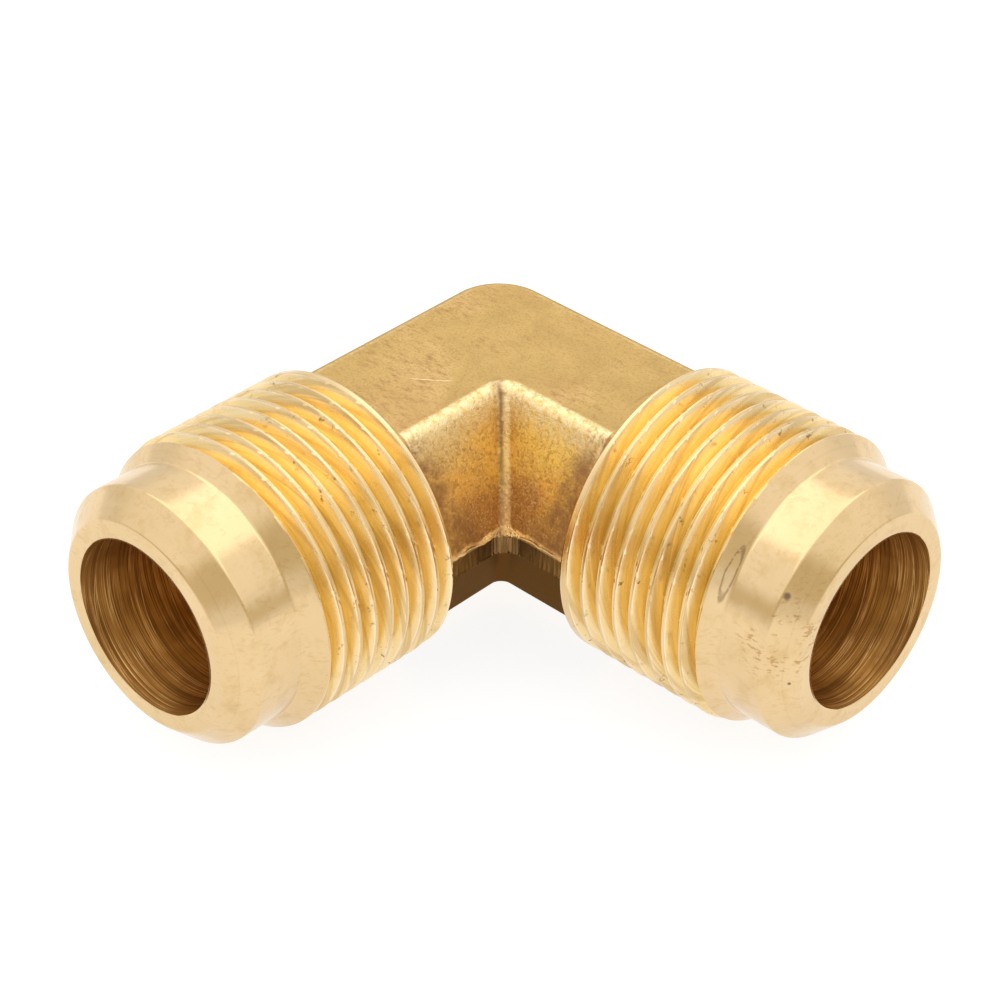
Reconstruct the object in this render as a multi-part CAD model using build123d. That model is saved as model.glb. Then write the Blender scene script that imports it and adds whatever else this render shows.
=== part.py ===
from build123d import *
import os
from math import cos, radians, sin, sqrt, tan

# A one-piece forged brass 90 degree union elbow with a male 45 degree flare end on
# each arm, for 3/4 inch tube. The origin is where the two bore axes cross. Arm "x"
# points along +X, arm "y" points along -Y, and the dies part on the plane Z = 0.

# Flare end, measured along the arm from the origin
CENTRE_TO_MOUTH = 42.7
BORE_D = 16.2
BORE_EDGE_CHAMFER = 0.2
MOUTH_RING_D = 19.5
FLARE_ANGLE = 45.0
NOSE_CORNER_R = 0.3
LAND_D = 24.0
LEAD_BLEND_R = 0.4
LEAD_ANGLE = 45.0

# Thread 1-1/16-14, right-handed, and the collar it is cut on
THREAD_MAJOR_D = 1.0625 * 25.4
THREAD_PITCH = 25.4 / 14
THREAD_DEPTH = 1.11
THREAD_FLANK = 30.0
THREAD_CREST = THREAD_PITCH / 6
THREAD_OVERCUT = 0.3
THREAD_FRONT = 34.5
GROOVE_BACK = 20.78
GROOVE_FRONT = 38.0
GROOVE_BACK_ANGLE = 22.0
COLLAR_BACK = 19.8
COLLAR_EDGE = 0.12
COLLAR_ROOT_R = 2.6
SLEEVE_BACK = 20.0

# Forged body: a hexagon section with a flat on top and one underneath. Each edge
# of a flat is an arc, whose centre stands off the arm's axis on its outer or inner side.
FLAT_HALF_HEIGHT = 10.83
DRAFT = 30.0
EDGE_R = 1.5
OUTER_EDGE_CENTRE = 5.4
INNER_EDGE_CENTRE = 6.05
OUTER_CORNER_CENTRE = 1.6
VALLEY_R = 1.5

# Band left around the parting plane where the forging's flash was trimmed off
FLASH_HEIGHT = 2.0
FLASH_LEDGE = 0.2
FLASH_VALLEY_R = 1.2

# Drilled passages
DRILL_PAST_CENTRE = 1.0
DRILL_POINT_ANGLE = 118.0

THREAD_R = THREAD_MAJOR_D / 2
LAND_R = LAND_D / 2
RING_R = MOUTH_RING_D / 2
BORE_R = BORE_D / 2
BODY_OVERRUN = 40.0
SLEEVE_TURN = {"x": 36.0, "y": 153.0}
ARM_PLANES = {
    "x": Plane(origin=(0, 0, 0), x_dir=(0, 1, 0), z_dir=(1, 0, 0)),
    "y": Plane(origin=(0, 0, 0), x_dir=(-1, 0, 0), z_dir=(0, -1, 0)),
}


def side_reach(edge_centre, height):
    """Distance from an arm's axis to its drafted side, at a height above the parting plane."""
    draft = radians(DRAFT)
    drop = FLAT_HALF_HEIGHT - EDGE_R - height
    return edge_centre + drop * tan(draft) + EDGE_R / cos(draft)


def outer_block(outer, height, taper=0.0):
    """Block that fills the elbow's outer corner, on the parting plane, with that corner rounded."""
    corners = [
        (-outer, -BODY_OVERRUN),
        (BODY_OVERRUN, -BODY_OVERRUN),
        (BODY_OVERRUN, outer),
        (-outer, outer),
    ]
    outline = make_face(Polyline(*corners, close=True))
    corner = outline.vertices().sort_by_distance((-outer, outer))[0]
    return extrude(fillet(corner, outer - OUTER_CORNER_CENTRE), height, taper=taper)


def inner_notch(inner, height, taper=0.0):
    """The space between the arms, as a block that hangs from a height down to the parting plane."""
    size = 2 * BODY_OVERRUN
    top = Pos(inner, -inner, height) * Rectangle(size, size, align=(Align.MIN, Align.MAX))
    return extrude(top, -height, taper=taper)


def valley_edge(solid):
    """The edge where the inner sides of the two arms meet."""
    edges = solid.edges().filter_by(lambda e: abs((e @ 0).Z - (e @ 1).Z) > FLASH_HEIGHT / 4)
    return edges.sort_by_distance((FLAT_HALF_HEIGHT, -FLAT_HALF_HEIGHT, 0))[0]


def forged_half():
    """The half of the elbow body above the parting plane, before the arms are cut to length."""
    block = outer_block(side_reach(OUTER_EDGE_CENTRE, 0), FLAT_HALF_HEIGHT, DRAFT)
    notch_top = side_reach(INNER_EDGE_CENTRE, FLAT_HALF_HEIGHT)
    half = block - inner_notch(notch_top, FLAT_HALF_HEIGHT, DRAFT)
    half = fillet(valley_edge(half), VALLEY_R)
    flat = half.faces().sort_by(Axis.Z)[-1]
    return fillet(flat.outer_wire().edges(), EDGE_R)


def flash_band():
    """The trimmed band, which stands a little proud of both drafted halves."""
    outer = side_reach(OUTER_EDGE_CENTRE, FLASH_HEIGHT / 2) + FLASH_LEDGE
    inner = side_reach(INNER_EDGE_CENTRE, FLASH_HEIGHT / 2) + FLASH_LEDGE
    band = outer_block(outer, FLASH_HEIGHT) - inner_notch(inner, FLASH_HEIGHT)
    return Pos(0, 0, -FLASH_HEIGHT / 2) * fillet(valley_edge(band), FLASH_VALLEY_R)


def behind(reach):
    """Block that holds all of the elbow up to a distance along each arm."""
    size = reach + BODY_OVERRUN
    block = Box(size, size, size, align=(Align.MAX, Align.MIN, Align.CENTER))
    return Pos(reach, -reach, 0) * block


def forged_body():
    """Both halves and the band, with each arm cut off at the back of its threaded collar."""
    upper = forged_half()
    body = upper + mirror(upper, about=Plane.XY) + flash_band()
    return body & behind(COLLAR_BACK)


def lead_blend():
    """Where the arc between the thread's lead chamfer and the nose land starts and ends."""
    lead = radians(LEAD_ANGLE)
    corner = THREAD_FRONT + (THREAD_R - LAND_R) / tan(lead)
    tangent = LEAD_BLEND_R * tan(lead / 2)
    start = (LAND_R + tangent * sin(lead), corner - tangent * cos(lead))
    middle_turn = lead / 2
    middle = (
        LAND_R + LEAD_BLEND_R * (1 - cos(middle_turn)),
        corner + tangent - LEAD_BLEND_R * sin(middle_turn),
    )
    return start, middle, (LAND_R, corner + tangent)


def arm_blank():
    """Turned arm about local Z: collar with its forged root, lead chamfer, land and flare cone."""
    root_start = COLLAR_BACK - COLLAR_ROOT_R
    rim = THREAD_R - COLLAR_EDGE
    root_r = rim - COLLAR_ROOT_R
    bend = COLLAR_ROOT_R * (1 - sqrt(0.5))
    start, middle, end = lead_blend()
    cone_back = CENTRE_TO_MOUTH - (LAND_R - RING_R) / tan(radians(FLARE_ANGLE))
    profile = [
        Line((0, 0), (root_r, 0)),
        Line((root_r, 0), (root_r, root_start)),
        ThreePointArc((root_r, root_start), (root_r + bend, COLLAR_BACK - bend), (rim, COLLAR_BACK)),
        Line((rim, COLLAR_BACK), (THREAD_R, COLLAR_BACK + COLLAR_EDGE)),
        Line((THREAD_R, COLLAR_BACK + COLLAR_EDGE), (THREAD_R, THREAD_FRONT)),
        Line((THREAD_R, THREAD_FRONT), start),
        ThreePointArc(start, middle, end),
        Line(end, (LAND_R, cone_back)),
        Line((LAND_R, cone_back), (RING_R, CENTRE_TO_MOUTH)),
        Line((RING_R, CENTRE_TO_MOUTH), (0, CENTRE_TO_MOUTH)),
        Line((0, CENTRE_TO_MOUTH), (0, 0)),
    ]
    section = make_face(Plane.XZ * Curve(profile))
    blank = revolve(section, Axis.Z)
    nose = blank.edges().filter_by(GeomType.CIRCLE).sort_by_distance((LAND_R, 0, cone_back))[0]
    return fillet(nose, NOSE_CORNER_R)


def thread_groove():
    """Right-handed helical V groove about local Z, for cutting the thread."""
    half_mouth = (THREAD_PITCH - THREAD_CREST) / 2
    half_root = half_mouth - THREAD_DEPTH * tan(radians(THREAD_FLANK))
    path = Helix(THREAD_PITCH, GROOVE_FRONT - GROOVE_BACK, THREAD_R)
    section_plane = Plane(origin=path @ 0, x_dir=(1, 0, 0), z_dir=path % 0)
    corners = [
        (THREAD_OVERCUT, half_mouth),
        (0, half_mouth),
        (-THREAD_DEPTH, half_root),
        (-THREAD_DEPTH, -half_root),
        (0, -half_mouth),
        (THREAD_OVERCUT, -half_mouth),
    ]
    section = section_plane * make_face(Polyline(*corners, close=True))
    groove = sweep(section, path=path, is_frenet=True)
    return Pos(0, 0, GROOVE_BACK) * Rot(0, 0, GROOVE_BACK_ANGLE) * groove


def drilled_passage():
    """Hole about local Z from the mouth to just past the crossing, with a drill point."""
    depth = CENTRE_TO_MOUTH + DRILL_PAST_CENTRE
    point = BORE_R / tan(radians(DRILL_POINT_ANGLE / 2))
    hole = Pos(0, 0, -DRILL_PAST_CENTRE) * Cylinder(
        BORE_R, depth, align=(Align.CENTER, Align.CENTER, Align.MIN)
    )
    tip = Pos(0, 0, -DRILL_PAST_CENTRE) * Cone(
        BORE_R, 0, point, align=(Align.CENTER, Align.CENTER, Align.MIN), rotation=(180, 0, 0)
    )
    edge = Pos(0, 0, CENTRE_TO_MOUTH) * Cone(
        BORE_R, BORE_R + BORE_EDGE_CHAMFER, BORE_EDGE_CHAMFER,
        align=(Align.CENTER, Align.CENTER, Align.MAX),
    )
    return hole + tip + edge


def threaded_sleeve():
    """The drilled and threaded front of an arm about local Z, from just inside its collar."""
    front = Cylinder(THREAD_MAJOR_D, CENTRE_TO_MOUTH, align=(Align.CENTER, Align.CENTER, Align.MIN))
    sleeve = arm_blank() & Pos(0, 0, SLEEVE_BACK) * front
    return sleeve - drilled_passage() - thread_groove()


def elbow():
    """The forging with both arms turned and drilled, and a threaded front on each."""
    core = forged_body()
    for plane in ARM_PLANES.values():
        core = core + plane * arm_blank()
    for plane in ARM_PLANES.values():
        core = core - plane * drilled_passage()
    solid = core & behind(SLEEVE_BACK)
    sleeve = threaded_sleeve()
    for arm, plane in ARM_PLANES.items():
        solid = solid + plane * Rot(0, 0, SLEEVE_TURN[arm]) * sleeve
    return solid


os.makedirs("parts", exist_ok=True)
part = elbow()
part.label = "elbow_body"
export_step(part, "parts/elbow_body.step")
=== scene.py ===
from math import ceil, cos, pi, radians, sin, tan

import bmesh
import bpy
import numpy as np
from mathutils import Matrix, Vector


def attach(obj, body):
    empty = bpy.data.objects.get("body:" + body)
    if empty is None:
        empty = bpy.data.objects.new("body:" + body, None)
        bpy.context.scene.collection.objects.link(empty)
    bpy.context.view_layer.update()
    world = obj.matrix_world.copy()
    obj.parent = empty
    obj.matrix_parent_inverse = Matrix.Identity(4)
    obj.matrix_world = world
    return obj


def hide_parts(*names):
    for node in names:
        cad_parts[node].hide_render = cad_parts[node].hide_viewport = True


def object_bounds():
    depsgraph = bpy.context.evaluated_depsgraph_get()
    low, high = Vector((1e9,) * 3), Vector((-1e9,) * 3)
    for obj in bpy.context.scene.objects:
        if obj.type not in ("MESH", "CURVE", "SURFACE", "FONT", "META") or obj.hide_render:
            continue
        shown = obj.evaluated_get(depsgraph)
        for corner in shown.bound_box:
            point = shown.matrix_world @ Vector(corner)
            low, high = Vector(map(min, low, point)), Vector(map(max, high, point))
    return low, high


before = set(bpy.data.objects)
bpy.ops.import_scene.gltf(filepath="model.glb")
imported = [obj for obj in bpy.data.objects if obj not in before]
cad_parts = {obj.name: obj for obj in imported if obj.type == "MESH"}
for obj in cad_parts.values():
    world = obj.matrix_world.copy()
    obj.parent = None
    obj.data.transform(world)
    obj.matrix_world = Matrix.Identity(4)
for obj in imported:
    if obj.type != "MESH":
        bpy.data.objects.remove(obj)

CAD_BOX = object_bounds()
NODE = "elbow_body"
MM = 0.001

# ---------------------------------------------------------------- sizes, in mm
# s is the distance along either arm's axis from the crossing of the two bores.
MOUTH_S = 42.7
BORE_R = 8.1
BORE_EDGE = 0.15
BORE_ASIDE, BORE_BELOW = 0.22, 0.16    # the mouths are cut a little off centre
DRILL_PAST = 1.0
DRILL_POINT = radians(59)
RING_R = 9.75
RING_ROUND = ((0.12, 0.12), (0.03, -0.02), (0.0, -0.14))    # back from the mouth, out from RING_R
LAND_R = 12.0
NOSE_R = 0.35
CONE_ANGLE = radians(45)
LEAD_ANGLE = radians(45)
LEAD_BLEND_R = 0.4
LEAD_STEP = 0.1

THREAD_R = 1.0625 * 25.4 / 2
PITCH = 25.4 / 14
CREST_HALF = 0.15
CREST_DIP = 0.012
FLANK = radians(30)
THREAD_DEPTH = 1.11
THREAD_FRONT = 34.5
THREAD_STEP = 0.08
CUT_END_S = 38.0
CUT_FLOOR_R = LAND_R - 0.3
GROOVE_FIRST, GROOVE_FADE = 20.72, 0.34
GROOVE_LAST, GROOVE_RUNOUT = 34.15, 0.6
CREST_X = (22.09, 137.3 / 360)    # s and turn at which a crest passes, on arm x
CREST_Y = (21.94, 44.7 / 360)
NICKS = 70

COLLAR_S = 19.8
COLLAR_EDGE = 0.12
RIM_R = THREAD_R - COLLAR_EDGE
ROOT_R = 2.6
ROOT_BLEND = 0.5
STRAIGHT_S = 14.5
ROOT_ROWS, STRAIGHT_ROWS, BEND_ROWS, CORNER_ROWS = 24, 13, 25, 40

FLAT_Z = 10.83
EDGE_R = 1.5
EDGE_Z = FLAT_Z - EDGE_R
DRAFT = radians(30)
OUTER_EDGE = 5.4
INNER_EDGE = 6.05
OUTER_CORNER = 1.6
VALLEY_R = 0.9
BAND_VALLEY_R = 1.9
BAND_HALF = 1.0
BAND_LEDGE = 0.2
LIP_BELOW = 0.4    # the lip on the band's lower edge, as a share of the upper one

FORGED, TURNED, THREAD, BORE, BAND = range(5)
WELD = 2e-7    # in metres
SHARP_ANGLE = radians(50)


# ---------------------------------------------------------------- helpers
def smoothstep(low, high, x):
    t = np.clip((x - low) / (high - low), 0, 1)
    return t * t * (3 - 2 * t)


def soft_max(a, b, k):
    h = np.clip(0.5 + 0.5 * (a - b) / k, 0, 1)
    return b + (a - b) * h + k * h * (1 - h)


def noise_line(x, step, seed):
    """Smooth noise along a line, from -1 to 1, with bumps about step apart."""
    table = np.random.default_rng(seed).uniform(-1, 1, 512)
    u = x / step + 100
    i = np.floor(u).astype(int)
    f = u - i
    f = f * f * (3 - 2 * f)
    return table[i % 512] * (1 - f) + table[(i + 1) % 512] * f


def to_xyz(arm, s, o, z):
    """World point in mm of section offset o (outwards positive) and height z at s along an arm."""
    if arm == "x":
        return np.stack([s, o, z], axis=-1)
    return np.stack([-o, -s, z], axis=-1)


# ---------------------------------------------------------------- body section
def section_outline():
    """Half of the body's section, z >= 0, from the outer side to the inner side, as (o, z)."""
    points = []
    for edge, side in ((OUTER_EDGE, 1), (INNER_EDGE, -1)):
        at_band = edge + (EDGE_Z - BAND_HALF) * tan(DRAFT) + EDGE_R / cos(DRAFT)
        ledge = at_band + BAND_LEDGE
        arm = [(ledge, 0.0), (ledge, BAND_HALF), (at_band, BAND_HALF + 0.02)]
        for turn in np.linspace(DRAFT, pi / 2, 24):
            arm.append((edge + EDGE_R * cos(turn), EDGE_Z + EDGE_R * sin(turn)))
        arm = [(side * o, z) for o, z in arm]
        points += arm if side > 0 else arm[::-1]
    return np.array(points)


def column_angles():
    """Angles round an arm's axis from its outer side, closer together at the flash and edges."""
    spacing = np.full(3600, 0.8)
    folded = np.abs((np.arange(3600) * 0.1 + 180) % 360 - 180)
    for middle, half, step in ((0, 9, 0.22), (180, 9, 0.22), (60, 7, 0.45), (122, 7, 0.45)):
        spacing[np.abs(folded - middle) < half] = step
    count = np.cumsum(0.1 / spacing)
    total = int(ceil(count[-1]))
    count *= total / count[-1]
    return np.radians(np.interp(np.arange(total), np.concatenate([[0], count]), np.arange(3601) * 0.1))


def body_radius(angles):
    """The body section's radius at each angle, exactly on the outline's straight sides."""
    outline = section_outline()
    fine_angle, fine_r = [], []
    for (o0, z0), (o1, z1) in zip(outline[:-1], outline[1:]):
        t = np.linspace(0, 1, 200, endpoint=False)
        o, z = o0 + (o1 - o0) * t, z0 + (z1 - z0) * t
        fine_angle.append(np.arctan2(z, o))
        fine_r.append(np.hypot(o, z))
    fine_angle = np.concatenate(fine_angle + [[pi]])
    fine_r = np.concatenate(fine_r + [[np.hypot(*outline[-1])]])
    return np.interp(np.where(angles <= pi, angles, 2 * pi - angles), fine_angle, fine_r)


ANGLES = column_angles()
COLUMNS = len(ANGLES)
COS, SIN = np.cos(ANGLES), np.sin(ANGLES)
BODY_R = body_radius(ANGLES)
BODY_O, BODY_Z = BODY_R * COS, BODY_R * SIN


# ---------------------------------------------------------------- turned arm
def nose_corner():
    """Arc (s, r) that rounds the corner where the land turns into the cone."""
    back = NOSE_R * tan(CONE_ANGLE / 2)
    s, r = MOUTH_S - (LAND_R - RING_R) - back, LAND_R - NOSE_R
    return [(s + NOSE_R * sin(a), r + NOSE_R * cos(a)) for a in np.linspace(0, CONE_ANGLE, 6)]


def lead_profile():
    """Points (s, r) from the lead chamfer's back to the bore's edge chamfer."""
    foot = THREAD_FRONT + (THREAD_R - LAND_R) / tan(LEAD_ANGLE) + LEAD_BLEND_R * tan(LEAD_ANGLE / 2)
    points = [(THREAD_FRONT, THREAD_R)]
    for turn in np.linspace(LEAD_ANGLE, 0, 7):
        points.append((foot - LEAD_BLEND_R * sin(turn), LAND_R + LEAD_BLEND_R * (1 - cos(turn))))
    points += nose_corner()
    points += [(MOUTH_S - back, RING_R + out) for back, out in RING_ROUND]
    points += [(MOUTH_S, BORE_R + BORE_EDGE), (MOUTH_S - BORE_EDGE, BORE_R)]
    return np.array(points)


def resample(points, step):
    """The polyline with at least one row per step of length, keeping its corners."""
    rows = [points[0]]
    for p, q in zip(points[:-1], points[1:]):
        n = max(1, int(ceil(np.hypot(*(q - p)) / step)))
        rows += [p + (q - p) * k / n for k in range(1, n + 1)]
    return rows


def arm_rows():
    """Rows (s, r) of the turned arm from the collar's back to the bore."""
    start = COLLAR_S + COLLAR_EDGE
    n = int(round((THREAD_FRONT - start) / THREAD_STEP))
    rows = [(COLLAR_S, RIM_R)] + [(s, THREAD_R) for s in np.linspace(start, THREAD_FRONT, n + 1)]
    return np.array(rows + [tuple(p) for p in resample(lead_profile(), LEAD_STEP)[1:]])


def turns_from_crest(s, phi, crest):
    """How many pitches (s, phi) lies from the crest that passes the given s and turn."""
    return (s - crest[0]) / PITCH - (phi - crest[1])


def snap_rows(s, phi, crest):
    """Moves each vertex along the arm onto a crest's or root's edge where one is close."""
    root_half = PITCH / 2 - CREST_HALF - THREAD_DEPTH * tan(FLANK)
    out = s.copy()
    for offset in (CREST_HALF, -CREST_HALF, PITCH / 2 - root_half, PITCH / 2 + root_half):
        u = turns_from_crest(s - offset, phi, crest)
        away = (np.round(u) - u) * PITCH
        out = np.where(np.abs(away) < THREAD_STEP * 0.5, s + away, out)
    return out


def thread_cut(s, phi, crest):
    """Depth of the full groove at (s, phi), how much of it is cut there, and the distance from a crest."""
    u = turns_from_crest(s, phi, crest)
    from_crest = np.abs(u - np.round(u)) * PITCH
    depth = np.clip((from_crest - CREST_HALF) / tan(FLANK), 0, THREAD_DEPTH)
    groove_s = crest[0] + PITCH * (np.floor(u) + 0.5 + phi - crest[1])
    share = smoothstep(GROOVE_FIRST - GROOVE_FADE, GROOVE_FIRST, groove_s)
    return depth, share * smoothstep(GROOVE_LAST + GROOVE_RUNOUT, GROOVE_LAST, groove_s), from_crest


def nicks(s, phi, crest, seed):
    """Small dents along the crests, as a depth in mm."""
    r = np.random.default_rng(seed)
    dent = np.zeros_like(s)
    for _ in range(NICKS):
        turn = r.uniform(0, 1)
        lap = r.integers(-1, 7)
        at = crest[0] + PITCH * (lap + turn - crest[1]) + r.uniform(-0.12, 0.12)
        deep, wide, along = r.uniform(0.03, 0.08), r.uniform(0.08, 0.16), r.uniform(0.05, 0.10)
        d_phi = ((phi - turn + 0.5) % 1 - 0.5) * 2 * pi * THREAD_R
        dent = np.maximum(dent, deep * np.exp(-(d_phi / wide) ** 2 - ((s - at) / along) ** 2))
    return dent


def arm_surface(crest, mirrored, seed):
    """s, radius and thread depth of each vertex of a turned arm, in rows from the collar to the bore."""
    rows = arm_rows()
    s = np.repeat(rows[:, :1], COLUMNS, axis=1)
    r = np.repeat(rows[:, 1:], COLUMNS, axis=1)
    phi = (ANGLES / (2 * pi))[None, :].repeat(len(rows), axis=0)
    if mirrored:
        phi = (0.5 - phi) % 1
    threaded = (s > COLLAR_S + 0.3) & (s < THREAD_FRONT - 0.05)
    s = np.where(threaded, snap_rows(s, phi, crest), s)
    depth, share, from_crest = thread_cut(s, phi, crest)
    dip = CREST_DIP * smoothstep(CREST_HALF - 0.01, CREST_HALF * 0.4, from_crest) * share
    cut = THREAD_R - depth * share - nicks(s, phi, crest, seed) * (depth < 0.05) - dip
    cuttable = (s < CUT_END_S) & (r > CUT_FLOOR_R)
    r = np.where(cuttable, np.minimum(r, np.maximum(cut, CUT_FLOOR_R)), r)
    r[0] = RIM_R
    return s, r, depth * share


def arm_points(arm, s, r):
    """World points of a turned arm; its last two rows follow the bore off centre."""
    inside = np.zeros((len(s), 1))
    inside[-2:] = 1
    return to_xyz(arm, s, r * COS + BORE_ASIDE * inside, r * SIN - BORE_BELOW * inside)


# ---------------------------------------------------------------- forged body
def corner_fillet(o, z):
    """Radius with which the path at offset o turns the elbow's corner."""
    top_side = INNER_EDGE + EDGE_R * cos(DRAFT)
    on_top = np.abs(z) > EDGE_Z + EDGE_R * sin(DRAFT)
    inner = np.where(on_top, VALLEY_R + top_side + o, VALLEY_R)
    inner = np.where(np.abs(z) < BAND_HALF + 0.15, BAND_VALLEY_R, inner)
    low, high = VALLEY_R + top_side - INNER_EDGE, OUTER_EDGE - OUTER_CORNER
    middle = low + (high - low) * np.clip((o + INNER_EDGE) / (OUTER_EDGE + INNER_EDGE), 0, 1)
    return np.where(o >= OUTER_EDGE, o - OUTER_CORNER, np.where(o <= -INNER_EDGE, inner, middle))


CORNER_R = corner_fillet(BODY_O, BODY_Z)


def root_radius(s):
    """Radius of the fillet that rises from the body to the collar's rim."""
    along = np.clip(s - (COLLAR_S - ROOT_R), 0, ROOT_R)
    fillet = RIM_R - np.sqrt(np.maximum(ROOT_R ** 2 - along ** 2, 0))
    return np.where(s > COLLAR_S - ROOT_R, fillet, 0)


def body_side():
    """s and radius of one arm's part of the body, in rows from the collar to the corner."""
    root_turn = np.linspace(pi / 2, 0, ROOT_ROWS + 1)[1:]
    s_root = COLLAR_S - ROOT_R + ROOT_R * np.sin(root_turn)
    s_near = np.linspace(COLLAR_S - ROOT_R, STRAIGHT_S, STRAIGHT_ROWS + 1)[1:]
    rows = [np.full(COLUMNS, s) for s in np.concatenate([s_root, s_near])]
    bend = CORNER_R - BODY_O
    rows += [STRAIGHT_S + (bend - STRAIGHT_S) * t for t in np.linspace(0, 1, BEND_ROWS + 1)[1:]]
    s = np.array(rows)
    r = soft_max(np.broadcast_to(BODY_R, s.shape), root_radius(s), ROOT_BLEND)
    return s, np.minimum(r, RIM_R)


def lip(z, along, o):
    """How far the flash's ragged lip stands out at (z, along), outwards, in mm."""
    wave = np.clip(0.5 + 0.4 * noise_line(along, 1.7, 11) + 0.25 * noise_line(along, 0.45, 12), 0, 1)
    height = 0.05 + np.where(o < 0, 0.30, 0.12) * wave
    shift = 0.17 * noise_line(along, 1.3, 13)
    width = 0.11 + 0.03 * noise_line(along, 0.8, 14)
    profile = np.exp(-((np.abs(z) - BAND_HALF - shift) / width) ** 2)
    drag = 0.025 * noise_line(along, 0.28, 15) * smoothstep(1.1, 0.9, np.abs(z))
    return height * profile * np.where(z > 0, 1.0, LIP_BELOW) + drag


def corner_turns():
    """Turn of each row round the corner, from -45 to 45 degrees, in radians."""
    return np.linspace(0, pi / 2, CORNER_ROWS + 2)[1:-1] - pi / 4


def body_points():
    """Rows of the body's points, from arm y's collar round the corner to arm x's collar."""
    s, r = body_side()
    o, z = r * COS, r * SIN
    sides = {}
    for arm, sign in (("y", -1), ("x", 1)):
        out = lip(z, sign * s, o) * smoothstep(COLLAR_S, COLLAR_S - 1.2, s)
        sides[arm] = to_xyz(arm, s, o + np.sign(o) * out, z)
    corner = []
    for turn in corner_turns():
        out = lip(BODY_Z, (CORNER_R - BODY_O) * turn / (pi / 4), BODY_O)
        radial = CORNER_R + np.sign(BODY_O) * out
        x = CORNER_R - BODY_O - radial * np.cos(turn + pi / 4)
        y = BODY_O - CORNER_R + radial * np.sin(turn + pi / 4)
        corner.append(np.stack([x, y, BODY_Z], axis=-1))
    return np.concatenate([sides["y"], np.array(corner), sides["x"][::-1]])


# ---------------------------------------------------------------- drilled passages
def drill(arm):
    """The drilled hole of one arm as a closed mesh object, with its wall's columns at ANGLES."""
    bm = bmesh.new()
    rings = []
    for s in (MOUTH_S - BORE_EDGE, -DRILL_PAST):
        ring = to_xyz(arm, np.full(COLUMNS, s), BORE_ASIDE + BORE_R * COS, BORE_R * SIN - BORE_BELOW)
        rings.append([bm.verts.new(p * MM) for p in ring])
    point_s = np.array(-DRILL_PAST - BORE_R / tan(DRILL_POINT))
    tip = bm.verts.new(to_xyz(arm, point_s, np.array(BORE_ASIDE), np.array(-BORE_BELOW)) * MM)
    for j in range(COLUMNS):
        k = (j + 1) % COLUMNS
        bm.faces.new((rings[0][j], rings[0][k], rings[1][k], rings[1][j]))
        bm.faces.new((rings[1][j], rings[1][k], tip))
    bm.faces.new(rings[0])
    bmesh.ops.recalc_face_normals(bm, faces=bm.faces)
    mesh = bpy.data.meshes.new("drill_" + arm)
    bm.to_mesh(mesh)
    bm.free()
    ob = bpy.data.objects.new("drill_" + arm, mesh)
    bpy.context.scene.collection.objects.link(ob)
    return ob


def passage_faces():
    """Vertices and faces of the two joined passages, open at their mouths and facing inwards."""
    a, b = drill("x"), drill("y")
    union = a.modifiers.new("join", "BOOLEAN")
    union.operation = "UNION"
    union.solver = "EXACT"
    union.object = b
    bpy.context.view_layer.update()
    both = bpy.data.meshes.new_from_object(a.evaluated_get(bpy.context.evaluated_depsgraph_get()))
    verts = np.array([tuple(v.co) for v in both.vertices]) / MM
    faces = [tuple(p.vertices)[::-1] for p in both.polygons if len(p.vertices) < COLUMNS / 2]
    for ob in (a, b):
        bpy.data.objects.remove(ob)
    return verts, faces


# ---------------------------------------------------------------- one closed mesh
def grid_faces(n_rows):
    i = np.arange(n_rows - 1)[:, None] * COLUMNS
    j = np.arange(COLUMNS)[None, :]
    k = (j + 1) % COLUMNS
    return np.stack([i + j, i + k, i + COLUMNS + k, i + COLUMNS + j], axis=-1).reshape(-1, 4)


def face_zones(n_arm, n_body):
    """Material index of each face of the grid."""
    zone = np.full((2 * n_arm + n_body - 1, COLUMNS), TURNED)
    zone[n_arm - 1:n_arm + n_body] = FORGED
    zone[n_arm - 1:n_arm + n_body, np.abs(BODY_Z) < BAND_HALF] = BAND
    threads = np.sum(arm_rows()[:-1, 0] < THREAD_FRONT - 0.01)
    zone[n_arm + n_body:n_arm + n_body + threads] = THREAD
    zone[n_arm - 1 - threads:n_arm - 1] = THREAD
    zone[0] = BORE
    zone[-1] = BORE
    return zone.reshape(-1)


def corner_masks(n_arm, n_body):
    """The stained crease of the inner corner, and the scaly ridge beside it on arm x's side."""
    n_rows = 2 * n_arm + n_body
    first = n_arm + (n_body - CORNER_ROWS) // 2
    rows = slice(first, first + CORNER_ROWS)
    turn = np.degrees(corner_turns())[:, None]
    crease = np.zeros((n_rows, COLUMNS))
    crease[rows] = np.exp(-((turn + 16) / 18) ** 2) * smoothstep(-5.5, -7.2, BODY_O)
    ridge = np.zeros((n_rows, COLUMNS))
    inner = smoothstep(-6.5, -8.0, BODY_O)
    ridge[rows] = smoothstep(0, 10, turn) * smoothstep(52, 30, turn) * inner
    for k, strength in enumerate((0.25, 0.1)):
        ridge[first + CORNER_ROWS + k] = strength * inner
    return crease, ridge


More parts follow.
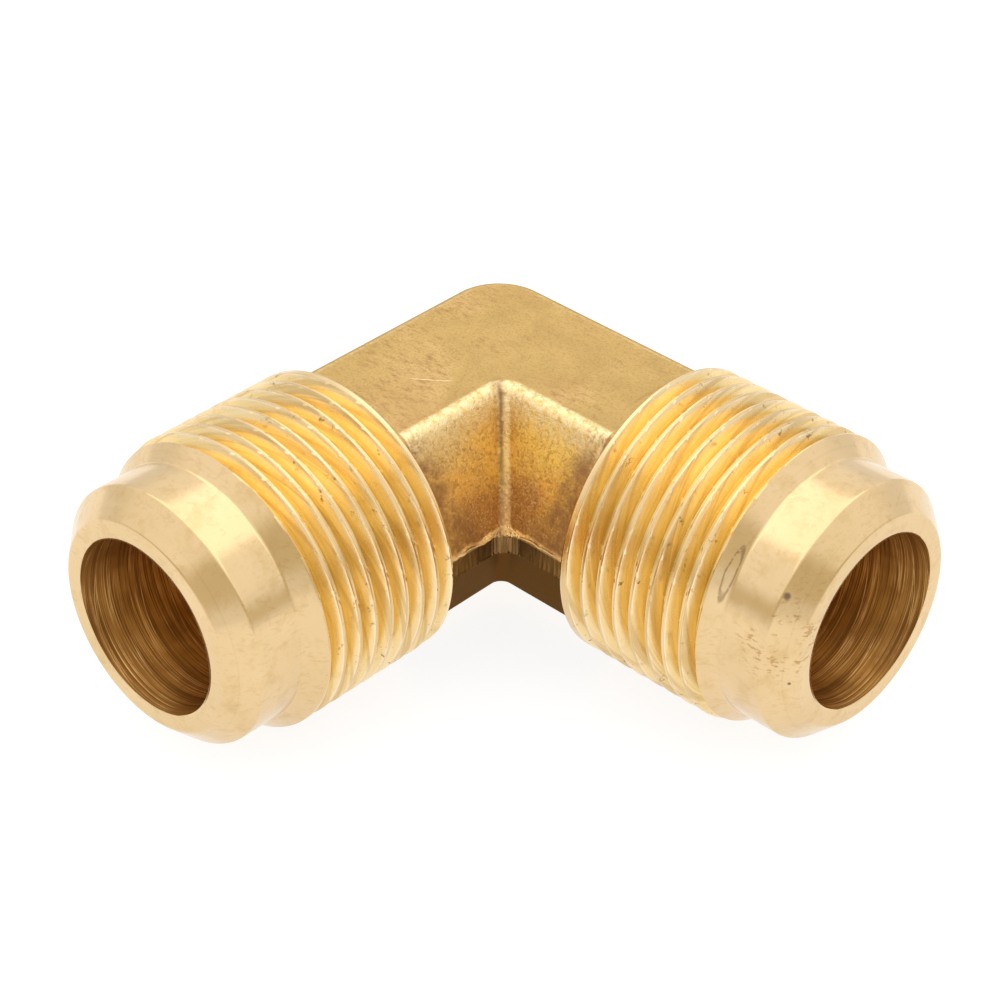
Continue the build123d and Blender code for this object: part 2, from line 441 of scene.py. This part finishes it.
def surface_masks(n_arm, n_body, depth_x, depth_y):
    """Named masks, one value for each vertex of the grid, that the materials read."""
    n_rows = 2 * n_arm + n_body
    on_body = slice(n_arm, n_arm + n_body)
    polish_and_highlight, root, groove = (np.zeros((n_rows, COLUMNS)) for _ in range(3))

    # The edge roundings' bright band: partly rubbed wear, partly a painted highlight.
    past_edge = np.where(BODY_O > 0, BODY_O - OUTER_EDGE, -BODY_O - INNER_EDGE)
    edge_turn = np.degrees(np.arctan2(np.abs(BODY_Z) - EDGE_Z, past_edge))
    worn_and_lit = smoothstep(7.6, 10.4, np.abs(BODY_Z)) * smoothstep(91, 78, edge_turn)
    beside_collar = 12
    polish_and_highlight[n_arm + beside_collar:n_arm + n_body - beside_collar] = np.where(past_edge > 0, worn_and_lit, 0)

    # Painted shade beside the collars: on the inner side it grows towards the collar, elsewhere it lies in
    # the collar's fillet.
    s = body_side()[0]
    shade_back = 14.1 + 0.2 * np.abs(BODY_Z)
    in_fillet = np.exp(-((COLLAR_S - s) / 1.5) ** 2)
    side = np.where(BODY_O < 0, smoothstep(shade_back, shade_back + 2.5, s), in_fillet)
    root[on_body][:len(s)] = side
    root[on_body][-len(s):] = side[::-1]

    groove[:n_arm] = depth_y[::-1] / THREAD_DEPTH
    groove[n_arm + n_body:] = depth_x / THREAD_DEPTH
    crease, ridge = corner_masks(n_arm, n_body)
    return {"polish_and_highlight": polish_and_highlight, "crease": crease, "ridge": ridge, "root": root, "groove": groove}


def elbow_mesh():
    s_x, r_x, depth_x = arm_surface(CREST_X, mirrored=False, seed=21)
    s_y, r_y, depth_y = arm_surface(CREST_Y, mirrored=True, seed=22)
    arm_x, arm_y, body = arm_points("x", s_x, r_x), arm_points("y", s_y, r_y), body_points()
    n_arm, n_body = len(arm_x), len(body)
    grid = np.concatenate([arm_y[::-1], body, arm_x]).reshape(-1, 3)
    passage_verts, passage = passage_faces()
    verts = np.concatenate([grid, passage_verts]) * MM
    faces = grid_faces(2 * n_arm + n_body).tolist() + [[v + len(grid) for v in f] for f in passage]
    mesh = bpy.data.meshes.new("elbow_brass")
    mesh.from_pydata(verts.tolist(), [], faces)
    index = np.concatenate([face_zones(n_arm, n_body), np.full(len(passage), BORE)])
    mesh.polygons.foreach_set("material_index", index.astype(np.int32))
    mesh.polygons.foreach_set("use_smooth", np.ones(len(faces), dtype=bool))
    for name, values in surface_masks(n_arm, n_body, depth_x, depth_y).items():
        full = np.zeros(len(verts), dtype=np.float32)
        full[:len(grid)] = values.reshape(-1)
        mesh.attributes.new(name, "FLOAT", "POINT").data.foreach_set("value", full)
    bm = bmesh.new()
    bm.from_mesh(mesh)
    bmesh.ops.remove_doubles(bm, verts=bm.verts, dist=WELD)
    bmesh.ops.recalc_face_normals(bm, faces=bm.faces)
    bm.to_mesh(mesh)
    bm.free()
    mesh.set_sharp_from_angle(angle=SHARP_ANGLE)
    return mesh


# ---------------------------------------------------------------- material nodes
# Node coordinates are in metres; noise scales are per metre.
def new_material(name):
    mat = bpy.data.materials.new(name)
    mat.use_nodes = True
    return mat, mat.node_tree, mat.node_tree.nodes["Principled BSDF"]


def add(nt, kind, inputs=(), **props):
    node = nt.nodes.new(kind)
    for key, value in props.items():
        setattr(node, key, value)
    for key, value in dict(inputs).items():
        if hasattr(value, "is_output"):
            nt.links.new(value, node.inputs[key])
        else:
            node.inputs[key].default_value = value
    return node


def coords(nt):
    return add(nt, "ShaderNodeTexCoord").outputs["Object"]


def noise(nt, vector, scale, detail=4.0, rough=0.6, distort=0.0):
    inputs = {"Vector": vector, "Scale": scale, "Detail": detail, "Roughness": rough, "Distortion": distort}
    return add(nt, "ShaderNodeTexNoise", inputs).outputs["Fac"]


def ramp(nt, fac, stops):
    node = add(nt, "ShaderNodeValToRGB", {"Fac": fac})
    elements = node.color_ramp.elements
    while len(elements) < len(stops):
        elements.new(0.5)
    for element, (at, colour) in zip(elements, stops):
        element.position = at
        element.color = (*colour, 1)
    return node.outputs["Color"]


def maths(nt, op, a, b=0.0):
    return add(nt, "ShaderNodeMath", {0: a, 1: b}, operation=op).outputs[0]


def times(nt, a, b):
    return maths(nt, "MULTIPLY", a, b)


def plus(nt, a, b):
    return maths(nt, "ADD", a, b)


def minus(nt, a, b):
    return maths(nt, "SUBTRACT", a, b)


def vector_op(nt, op, a, b, output=0):
    return add(nt, "ShaderNodeVectorMath", {0: a, 1: b}, operation=op).outputs[output]


def stretched(nt, vector, scale, turn=0.0):
    inputs = {"Vector": vector, "Rotation": (0, 0, turn), "Scale": scale}
    return add(nt, "ShaderNodeMapping", inputs).outputs[0]


def split(nt, vector):
    return add(nt, "ShaderNodeSeparateXYZ", {0: vector}).outputs


def joined(nt, x, y, z):
    return add(nt, "ShaderNodeCombineXYZ", {0: x, 1: y, 2: z}).outputs[0]


def mix(nt, fac, a, b):
    node = add(nt, "ShaderNodeMix", data_type="RGBA", blend_type="MIX")
    for sock, value in ((0, fac), (6, a), (7, b)):
        if hasattr(value, "is_output"):
            nt.links.new(value, node.inputs[sock])
        else:
            node.inputs[sock].default_value = value if sock == 0 else (*value, 1)
    return node.outputs[2]


def bump(nt, height, strength, distance, normal=None):
    inputs = {"Height": height, "Strength": strength, "Distance": distance}
    if normal is not None:
        inputs["Normal"] = normal
    return add(nt, "ShaderNodeBump", inputs).outputs["Normal"]


def attr(nt, name):
    return add(nt, "ShaderNodeAttribute", attribute_name=name).outputs["Fac"]


def value_range(nt, value, low, high, out_low, out_high):
    inputs = {0: value, 1: low, 2: high, 3: out_low, 4: out_high}
    return add(nt, "ShaderNodeMapRange", inputs).outputs[0]


def mask(nt, value, zero_at, full_at, top=1.0):
    return value_range(nt, value, zero_at, full_at, 0.0, top)


def along_arm(nt):
    """Distance along whichever arm the point is on, radius from its axis and turn about it."""
    x, y, z = split(nt, coords(nt))
    minus_y = times(nt, y, -1.0)
    along = maths(nt, "MAXIMUM", x, minus_y)
    side = maths(nt, "MINIMUM", x, minus_y)
    radius = maths(nt, "SQRT", plus(nt, times(nt, side, side), times(nt, z, z)))
    return along, radius, maths(nt, "ARCTAN2", z, side)


def ring_vector(nt, skew, wander):
    """A vector that is the same all round an arm, but for a skew and a little wander, in metres."""
    along, radius, turn = along_arm(nt)
    c, s = maths(nt, "COSINE", turn), maths(nt, "SINE", turn)
    reach = plus(nt, along, times(nt, radius, 0.7))
    return joined(nt, plus(nt, reach, times(nt, s, skew)), times(nt, c, wander), times(nt, s, wander))


def finish_metal(nt, bsdf, colour, rough, normal, edge_tint=None):
    nt.links.new(colour, bsdf.inputs["Base Color"])
    nt.links.new(rough, bsdf.inputs["Roughness"])
    nt.links.new(normal, bsdf.inputs["Normal"])
    bsdf.inputs["Metallic"].default_value = 1.0
    if edge_tint:
        bsdf.inputs["Specular Tint"].default_value = (*edge_tint, 1)


# ---------------------------------------------------------------- marks
SKIN_TINT = (0.45, 0.30, 0.16)
BORE_TINT = (0.6, 0.4, 0.2)
SPOTS = (    # place in mm, radius in mm, strength: dark round spots on the noses
    ((40.69, -9.45, 6.83), 0.40, 0.85), ((42.2, -10.19, -0.95), 0.20, 0.9),
)
FAINT_SPOTS = (
    ((-2.67, -36.36, 12.33), 0.34, 0.45), ((-9.27, -35.9, 7.62), 0.26, 0.4),
)
RUST_PATCH = ((41.3, -10.4, 3.2), 4.6)
LOOP_S, LOOP_TURN = 35.55, radians(33.5)
LOOP_HALF_S, LOOP_HALF_ROUND = 0.30, 2.1
SCRATCH = ((0.85, -12.28, FLAT_Z), (3.85, -9.95, FLAT_Z), 0.07)
# The broad tones are partly the skin's own colour and partly painted reflection and shade.
SKIN_AREAS = (    # place in mm, radius in mm, colour: broad tones on the inner faces
    ((13.8, -8.4, 8.2), 4.2, (1.0, 0.66, 0.13)), ((16.7, -10.4, 4.7), 3.4, (0.98, 0.56, 0.10)),
    ((13.2, -11.4, 3.1), 3.2, (0.50, 0.25, 0.09)), ((9.9, -17.1, 5.6), 3.2, (0.95, 0.56, 0.13)),
    ((7.7, -15.9, 9.4), 3.6, (0.88, 0.66, 0.26)), ((11.7, -14.8, 2.5), 3.0, (0.55, 0.29, 0.10)),
)


def spot(nt, p, centre, radius):
    """Mask of a small round mark around a point, in mm."""
    away = vector_op(nt, "DISTANCE", p, Vector(centre) * MM, "Value")
    return mask(nt, away, radius * MM, radius * MM * 0.5)


def scratch(nt, p, start, end, width):
    """Mask of a fine, slightly bent scratch between two points on the top flat, in mm."""
    a, b = Vector(start) * MM, Vector(end) * MM
    run = (b - a).normalized()
    away = vector_op(nt, "SUBTRACT", p, a)
    along = vector_op(nt, "DOT_PRODUCT", away, run, "Value")
    across = vector_op(nt, "DOT_PRODUCT", away, Vector((-run.y, run.x, 0)), "Value")
    bend = times(nt, maths(nt, "SINE", times(nt, along, 900.0)), 0.00006)
    line = mask(nt, maths(nt, "ABSOLUTE", plus(nt, across, bend)), width * MM, 0.0)
    middle = (b - a).length / 2
    span = mask(nt, maths(nt, "ABSOLUTE", minus(nt, along, middle)), middle, middle * 0.8)
    return times(nt, line, span)


def loop_stain(nt, p):
    """Mask of the thin outline that a dried drop left on arm x's lead chamfer."""
    along, _, turn = along_arm(nt)
    ds = maths(nt, "DIVIDE", minus(nt, along, LOOP_S * MM), LOOP_HALF_S * MM)
    dt = maths(nt, "DIVIDE", minus(nt, turn, LOOP_TURN), LOOP_HALF_ROUND / LAND_R)
    reach = maths(nt, "SQRT", plus(nt, times(nt, ds, ds), times(nt, dt, dt)))
    wobble = times(nt, minus(nt, noise(nt, p, 900.0, 3.0), 0.5), 0.5)
    off = maths(nt, "ABSOLUTE", plus(nt, minus(nt, reach, 1.0), wobble))
    broken = mask(nt, noise(nt, p, 1700.0, 2.0), 0.30, 0.48)
    on_x = mask(nt, split(nt, p)[0], 0.020, 0.021)
    return times(nt, times(nt, mask(nt, off, 0.26, 0.08), broken), on_x)


def ragged(nt, p):
    """The coordinate, shaken so that round marks come out ragged."""
    shake = add(nt, "ShaderNodeTexNoise", {"Vector": p, "Scale": 1400.0}).outputs["Color"]
    shake = add(nt, "ShaderNodeVectorMath", {0: shake, 3: 0.0006}, operation="SCALE").outputs[0]
    return vector_op(nt, "SUBTRACT", vector_op(nt, "ADD", p, shake), (0.0003, 0.0003, 0.0003))


# ---------------------------------------------------------------- brass finishes
def turned_brass():
    mat, nt, bsdf = new_material("turned_brass")
    p = coords(nt)
    lines = noise(nt, ring_vector(nt, 0.0, 0.00002), 9000.0, 3.0, 0.7)
    broad = noise(nt, ring_vector(nt, 0.0, 0.00006), 1500.0, 3.0, 0.5)
    cloud = noise(nt, p, 130.0, 4.0, 0.55)
    dull = noise(nt, p, 420.0, 5.0, 0.7)
    colour = ramp(nt, cloud, [(0.3, (0.735, 0.530, 0.272)), (0.7, (0.80, 0.583, 0.322))])
    colour = mix(nt, mask(nt, lines, 0.42, 0.32, 0.22), colour, (0.60, 0.40, 0.17))
    colour = mix(nt, mask(nt, dull, 0.50, 0.66, 0.45), colour, (0.62, 0.41, 0.17))

    dashes = stretched(nt, p, (1.0, 1.0, 2.6))
    rust = times(nt, mask(nt, noise(nt, dashes, 1300.0, 2.5, 0.6), 0.55, 0.62),
                 mask(nt, noise(nt, p, 330.0, 2.0), 0.42, 0.54, 0.75))
    amount = plus(nt, times(nt, spot(nt, p, *RUST_PATCH), 0.9), 0.24)
    colour = mix(nt, times(nt, rust, amount), colour, (0.50, 0.29, 0.11))

    cells = {"Vector": p, "Scale": 300.0, "Randomness": 1.0}
    specks = add(nt, "ShaderNodeTexVoronoi", cells).outputs["Distance"]
    rare = mask(nt, noise(nt, p, 190.0, 2.0), 0.55, 0.60)
    colour = mix(nt, times(nt, mask(nt, specks, 0.070, 0.03, 0.6), rare), colour, (0.26, 0.16, 0.09))
    for shape, marks in ((p, SPOTS), (ragged(nt, p), FAINT_SPOTS)):
        for centre, radius, strength in marks:
            amount = times(nt, spot(nt, shape, centre, radius), strength)
            colour = mix(nt, amount, colour, (0.20, 0.125, 0.095))
    colour = mix(nt, times(nt, loop_stain(nt, p), 0.62), colour, (0.27, 0.17, 0.09))

    rough = plus(nt, mask(nt, lines, 0.3, 0.7, 0.05), mask(nt, dull, 0.3, 0.7, 0.07))
    rough = plus(nt, rough, 0.12)
    normal = bump(nt, lines, 0.30, 0.000008)
    normal = bump(nt, broad, 0.30, 0.000015, normal)
    finish_metal(nt, bsdf, colour, rough, normal)
    return mat


def thread_brass():
    mat, nt, bsdf = new_material("thread_brass")
    p = coords(nt)
    groove = attr(nt, "groove")
    # Colour by groove depth: the pale cream just off the crests is a painted highlight on the crest edges,
    # and the darker gold at the roots is painted shade.
    colour = ramp(nt, groove, [
        (0.0, (0.80, 0.58, 0.30)), (0.04, (0.96, 0.79, 0.53)), (0.13, (0.90, 0.68, 0.36)),
        (0.6, (0.89, 0.655, 0.275)), (0.93, (0.86, 0.61, 0.225)), (1.0, (0.74, 0.50, 0.17))])
    cloud = noise(nt, p, 240.0, 4.0, 0.65)
    colour = mix(nt, mask(nt, cloud, 0.44, 0.30, 0.5), colour, (0.68, 0.46, 0.17))
    drag = noise(nt, ring_vector(nt, 0.0, 0.00004), 7500.0, 3.0, 0.7)
    colour = mix(nt, mask(nt, drag, 0.50, 0.40, 0.62), colour, (0.60, 0.40, 0.155))
    colour = mix(nt, mask(nt, drag, 0.55, 0.64, 0.45), colour, (0.97, 0.79, 0.48))
    near_crest = mask(nt, maths(nt, "ABSOLUTE", minus(nt, groove, 0.25)), 0.35, 0.15)
    dirt = times(nt, mask(nt, noise(nt, p, 1100.0, 4.0, 0.7), 0.60, 0.68), near_crest)
    dirt = times(nt, dirt, mask(nt, noise(nt, p, 210.0, 2.0), 0.46, 0.56, 0.85))
    colour = mix(nt, dirt, colour, (0.20, 0.11, 0.04))
    rough = plus(nt, mask(nt, noise(nt, p, 700.0), 0.3, 0.7, 0.12), 0.17)
    normal = bump(nt, drag, 0.5, 0.000016)
    normal = bump(nt, noise(nt, p, 1100.0, 4.0), 0.18, 0.00003, normal)
    finish_metal(nt, bsdf, colour, rough, normal)
    return mat


def flat_skin(nt, p, grain, mottle):
    """Colour of the two flats, which face straight up and down."""
    colour = ramp(nt, mottle, [
        (0.30, (0.56, 0.385, 0.155)), (0.50, (0.64, 0.44, 0.180)), (0.72, (0.72, 0.50, 0.225))])
    streak = stretched(nt, p, (1.0, 2.6, 1.0), radians(35))
    stain = times(nt, mask(nt, noise(nt, streak, 760.0, 5.0, 0.75), 0.50, 0.66),
                  mask(nt, noise(nt, p, 150.0, 2.0), 0.42, 0.58, 0.75))
    colour = mix(nt, stain, colour, (0.38, 0.215, 0.10))
    colour = mix(nt, mask(nt, noise(nt, p, 75.0, 2.0), 0.52, 0.70, 0.35), colour, (0.62, 0.36, 0.16))
    return mix(nt, mask(nt, grain, 0.49, 0.36, 0.50), colour, (0.40, 0.26, 0.095))


def side_skin(nt, p, height, grain, coarse):
    """Colour of the drafted sides, with painted shade by the collars, towards the flash and below it."""
    tone = noise(nt, p, 120.0, 3.0, 0.55)
    colour = ramp(nt, tone, [
        (0.30, (0.66, 0.37, 0.090)), (0.50, (0.83, 0.515, 0.135)), (0.68, (0.95, 0.64, 0.165))])
    # Painted shade: the drafted sides turn darker and redder towards the flash.
    low = mask(nt, plus(nt, height, times(nt, tone, 0.006)), 0.0095, 0.0015, 0.60)
    colour = mix(nt, low, colour, (0.50, 0.235, 0.075))
    # Broad tones, partly the skin's own colour and partly painted reflection and shade.
    for centre, radius, tint in SKIN_AREAS:
        colour = mix(nt, times(nt, spot(nt, p, centre, radius), 0.75), colour, tint)
    patch = mask(nt, noise(nt, p, 420.0, 4.0, 0.6), 0.45, 0.62, 0.40)
    colour = mix(nt, patch, colour, (0.52, 0.30, 0.12))
    colour = mix(nt, mask(nt, coarse, 0.50, 0.36, 0.50), colour, (0.36, 0.19, 0.065))
    colour = mix(nt, mask(nt, grain, 0.52, 0.64, 0.50), colour, (1.0, 0.78, 0.40))
    ridge = times(nt, attr(nt, "ridge"), mask(nt, coarse, 0.43, 0.56, 0.65))
    ridge = times(nt, ridge, value_range(nt, height, 0.0015, 0.0060, 0.35, 1.0))
    colour = mix(nt, ridge, colour, (0.76, 0.48, 0.23))
    # Painted shade in the hollows beside the collars.
    rooted = times(nt, attr(nt, "root"), mask(nt, noise(nt, p, 700.0, 3.0), 0.20, 0.55, 0.9))
    colour = mix(nt, rooted, colour, (0.33, 0.17, 0.07))
    # Painted shade: below the flash the sides are dark brown all round, chosen by height.
    return mix(nt, mask(nt, height, -0.0008, -0.0014), colour, (0.150, 0.103, 0.058))


def forged_brass():
    mat, nt, bsdf = new_material("forged_brass")
    p = coords(nt)
    height = split(nt, p)[2]
    up = split(nt, add(nt, "ShaderNodeNewGeometry").outputs["Normal"])[2]
    # The bottom flat's range is narrower than the top's, so the lower edge roundings keep the sides'
    # painted shade.
    facing = maths(nt, "MAXIMUM", mask(nt, up, 0.86, 0.985), mask(nt, up, -0.985, -0.999))
    grain = noise(nt, p, 5200.0, 3.0, 0.65)
    coarse = noise(nt, p, 2600.0, 3.0, 0.6)
    mottle = noise(nt, p, 150.0, 5.0, 0.6, 0.6)
    colour = mix(nt, facing, side_skin(nt, p, height, grain, coarse), flat_skin(nt, p, grain, mottle))

    # Partly wear, partly painted highlight, and only above the flash: the lower edges are left dark as
    # painted shade.
    worn_and_lit = times(nt, attr(nt, "polish_and_highlight"), mask(nt, noise(nt, p, 2100.0, 4.0, 0.7), 0.34, 0.58))
    worn_and_lit = times(nt, worn_and_lit, mask(nt, height, -0.001, 0.001))
    colour = mix(nt, worn_and_lit, colour, (0.90, 0.705, 0.385))
    creased = times(nt, attr(nt, "crease"), mask(nt, noise(nt, p, 1100.0, 3.0), 0.18, 0.48))
    fading = mask(nt, height, 0.0, 0.0065)
    creased = times(nt, creased, plus(nt, times(nt, fading, 0.40), 0.42))
    colour = mix(nt, creased, colour, (0.19, 0.085, 0.035))
    colour = mix(nt, scratch(nt, p, *SCRATCH), colour, (1.0, 0.84, 0.56))

    rough = minus(nt, 0.60, mask(nt, mottle, 0.3, 0.7, 0.10))
    rough = minus(nt, rough, times(nt, worn_and_lit, 0.20))
    rough = minus(nt, rough, mask(nt, facing, 1.0, 0.0, 0.12))
    normal = bump(nt, coarse, 0.55, 0.00005)
    normal = bump(nt, grain, 0.50, 0.00003, normal)
    normal = bump(nt, noise(nt, p, 900.0, 4.0, 0.6), 0.30, 0.00009, normal)
    finish_metal(nt, bsdf, colour, rough, normal, SKIN_TINT)
    return mat


def bore_brass():
    mat, nt, bsdf = new_material("bore_brass")
    p = coords(nt)
    along = along_arm(nt)[0]
    fine = noise(nt, ring_vector(nt, 0.0008, 0.00005), 7500.0, 3.0, 0.6)
    skewed = noise(nt, ring_vector(nt, 0.0018, 0.00006), 6500.0, 3.0, 0.6)
    area = noise(nt, p, 230.0, 3.0, 0.55)
    # The bore is darker and redder than the outside, partly its own finish and partly painted shade and
    # bounce light between its walls.
    colour = ramp(nt, area, [
        (0.32, (0.31, 0.124, 0.016)), (0.55, (0.53, 0.245, 0.039)), (0.75, (0.64, 0.335, 0.078))])
    # Painted bounce light: warmer deep inside.
    colour = mix(nt, mask(nt, along, 0.033, 0.025, 0.55), colour, (0.78, 0.40, 0.060))
    # Painted shade: darker by the mouth.
    colour = mix(nt, mask(nt, along, 0.034, 0.042, 0.60), colour, (0.26, 0.135, 0.050))
    colour = mix(nt, mask(nt, fine, 0.49, 0.43, 0.70), colour, (0.15, 0.060, 0.012))
    bright = maths(nt, "MAXIMUM", mask(nt, fine, 0.575, 0.615), mask(nt, skewed, 0.59, 0.63))
    bright = times(nt, bright, mask(nt, noise(nt, p, 330.0, 2.0), 0.36, 0.60, 0.65))
    colour = mix(nt, bright, colour, (0.90, 0.56, 0.22))
    rough = minus(nt, 0.50, times(nt, bright, 0.12))
    normal = bump(nt, fine, 0.35, 0.000012)
    normal = bump(nt, skewed, 0.30, 0.000014, normal)
    finish_metal(nt, bsdf, colour, rough, normal, BORE_TINT)
    return mat


def trimmed_brass():
    mat, nt, bsdf = new_material("trimmed_brass")
    up = split(nt, coords(nt))[2]
    vector = joined(nt, along_arm(nt)[0], times(nt, up, 0.07), 0.0)
    drag = noise(nt, vector, 4200.0, 4.0, 0.7)
    # Painted shade: the band is dark brown all round; only its top edge, by the upper lip, gets a brass
    # colour.
    colour = ramp(nt, drag, [
        (0.35, (0.15, 0.078, 0.026)), (0.6, (0.27, 0.15, 0.055)), (0.8, (0.42, 0.25, 0.10))])
    colour = mix(nt, mask(nt, up, 0.00075, 0.00095), colour, (0.74, 0.50, 0.22))
    rough = minus(nt, 0.5, mask(nt, drag, 0.3, 0.7, 0.2))
    finish_metal(nt, bsdf, colour, rough, bump(nt, drag, 0.6, 0.00006), SKIN_TINT)
    return mat


def build_elbow():
    mesh = elbow_mesh()
    for material in (forged_brass(), turned_brass(), thread_brass(), bore_brass(), trimmed_brass()):
        mesh.materials.append(material)
    elbow = bpy.data.objects.new("elbow_brass", mesh)
    bpy.context.scene.collection.objects.link(elbow)
    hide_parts(NODE)
    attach(elbow, "root")


# ---------------------------------------------------------------- stage, light and camera
FLOOR_SIZE, FLOOR_BELOW = 1.2, 0.0001
FLOOR_GREY, FLOOR_GLOW = 0.20, 0.87
WALL_SHADE = ((0.45, 0.95), (0.50, 0.90), (0.62, 0.93), (0.70, 1.10), (1.0, 1.16))
GAP_COLOUR = (0.73, 0.66, 0.51)
GAP_AZIMUTH = radians(-47)
# The gap's edges as heights on a unit sphere: its bottom at the middle, its top at the ends and
# how much higher the top is at the middle.
GAP_BOTTOM, GAP_TOP_ENDS, GAP_TOP_RISE = 0.16, 0.07, 0.49
FADE_BOTTOM, FADE_TOP, FADE_ENDS = 0.05, 0.11, 0.18
BOX_PLACE, BOX_SIZE, BOX_TURN, BOX_RADIANCE = (-0.133, 0.143, 1.0), (1.59, 1.6), radians(132.9), 0.56
AZIMUTH, ELEVATION, ROLL = radians(42.921), radians(35.615), radians(-0.787)
DISTANCE, ASIDE, ABOVE = 0.25753, 0.000108, -0.00722
FOCAL_RATIO = 2.80668
SENSOR = 36


def stage_floor():
    bm = bmesh.new()
    bmesh.ops.create_grid(bm, x_segments=8, y_segments=8, size=FLOOR_SIZE)
    mesh = bpy.data.meshes.new("floor")
    bm.to_mesh(mesh)
    bm.free()
    floor = bpy.data.objects.new("floor", mesh)
    floor.location = (0, 0, CAD_BOX[0][2] - FLOOR_BELOW)
    bpy.context.scene.collection.objects.link(floor)
    mat, _, bsdf = new_material("pale_floor")
    bsdf.inputs["Base Color"].default_value = (FLOOR_GREY, FLOOR_GREY, FLOOR_GREY, 1)
    bsdf.inputs["Roughness"].default_value = 0.9
    bsdf.inputs["Specular IOR Level"].default_value = 0.1
    bsdf.inputs["Emission Color"].default_value = (1, 1, 1, 1)
    bsdf.inputs["Emission Strength"].default_value = FLOOR_GLOW
    mesh.materials.append(mat)


def studio_walls():
    """Pale walls, a little darker than the lit floor, with a dim gap on the camera's side."""
    world = bpy.context.scene.world or bpy.data.worlds.new("World")
    bpy.context.scene.world = world
    world.use_nodes = True
    nt = world.node_tree
    x, y, z = split(nt, add(nt, "ShaderNodeTexCoord").outputs["Generated"])
    level = maths(nt, "SQRT", plus(nt, times(nt, x, x), times(nt, y, y)))
    toward = plus(nt, times(nt, x, cos(GAP_AZIMUTH)), times(nt, y, sin(GAP_AZIMUTH)))
    toward = maths(nt, "DIVIDE", toward, maths(nt, "MAXIMUM", level, 0.001))
    reach = mask(nt, toward, 0.0, 1.0)
    bottom = times(nt, reach, GAP_BOTTOM)
    top = plus(nt, times(nt, reach, GAP_TOP_RISE), GAP_TOP_ENDS)
    gap = mask(nt, minus(nt, z, bottom), 0.0, FADE_BOTTOM)
    gap = times(nt, gap, mask(nt, minus(nt, z, top), FADE_TOP, 0.0))
    gap = times(nt, gap, mask(nt, toward, 0.0, FADE_ENDS))
    shade = ramp(nt, mask(nt, z, -1.0, 1.0), [(at, (grey, grey, grey)) for at, grey in WALL_SHADE])
    back = nt.nodes["Background"]
    nt.links.new(mix(nt, gap, shade, GAP_COLOUR), back.inputs["Color"])
    back.inputs["Strength"].default_value = 1.0


def soft_box():
    light = bpy.data.lights.new("top_box", "AREA")
    light.shape = "RECTANGLE"
    light.size, light.size_y = BOX_SIZE
    light.energy = BOX_RADIANCE * pi * BOX_SIZE[0] * BOX_SIZE[1]
    ob = bpy.data.objects.new("top_box", light)
    ob.location = BOX_PLACE
    ob.rotation_euler = (0, 0, BOX_TURN)
    bpy.context.scene.collection.objects.link(ob)


def make_camera():
    back = Vector((sin(AZIMUTH) * cos(ELEVATION), -cos(AZIMUTH) * cos(ELEVATION), sin(ELEVATION)))
    level = Vector((cos(AZIMUTH), sin(AZIMUTH), 0))
    upright = back.cross(level)
    right = level * cos(ROLL) - upright * sin(ROLL)
    up = level * sin(ROLL) + upright * cos(ROLL)
    data = bpy.data.cameras.new("camera")
    data.sensor_width = SENSOR
    data.lens = FOCAL_RATIO * SENSOR
    data.clip_start = 0.01
    camera = bpy.data.objects.new("camera", data)
    turn = Matrix((right, up, back)).transposed().to_4x4()
    turn.translation = right * ASIDE + up * ABOVE + back * DISTANCE
    camera.matrix_world = turn
    bpy.context.scene.collection.objects.link(camera)
    bpy.context.scene.camera = camera


build_elbow()
stage_floor()
studio_walls()
soft_box()
make_camera()
bpy.context.scene.view_settings.view_transform = "Standard"
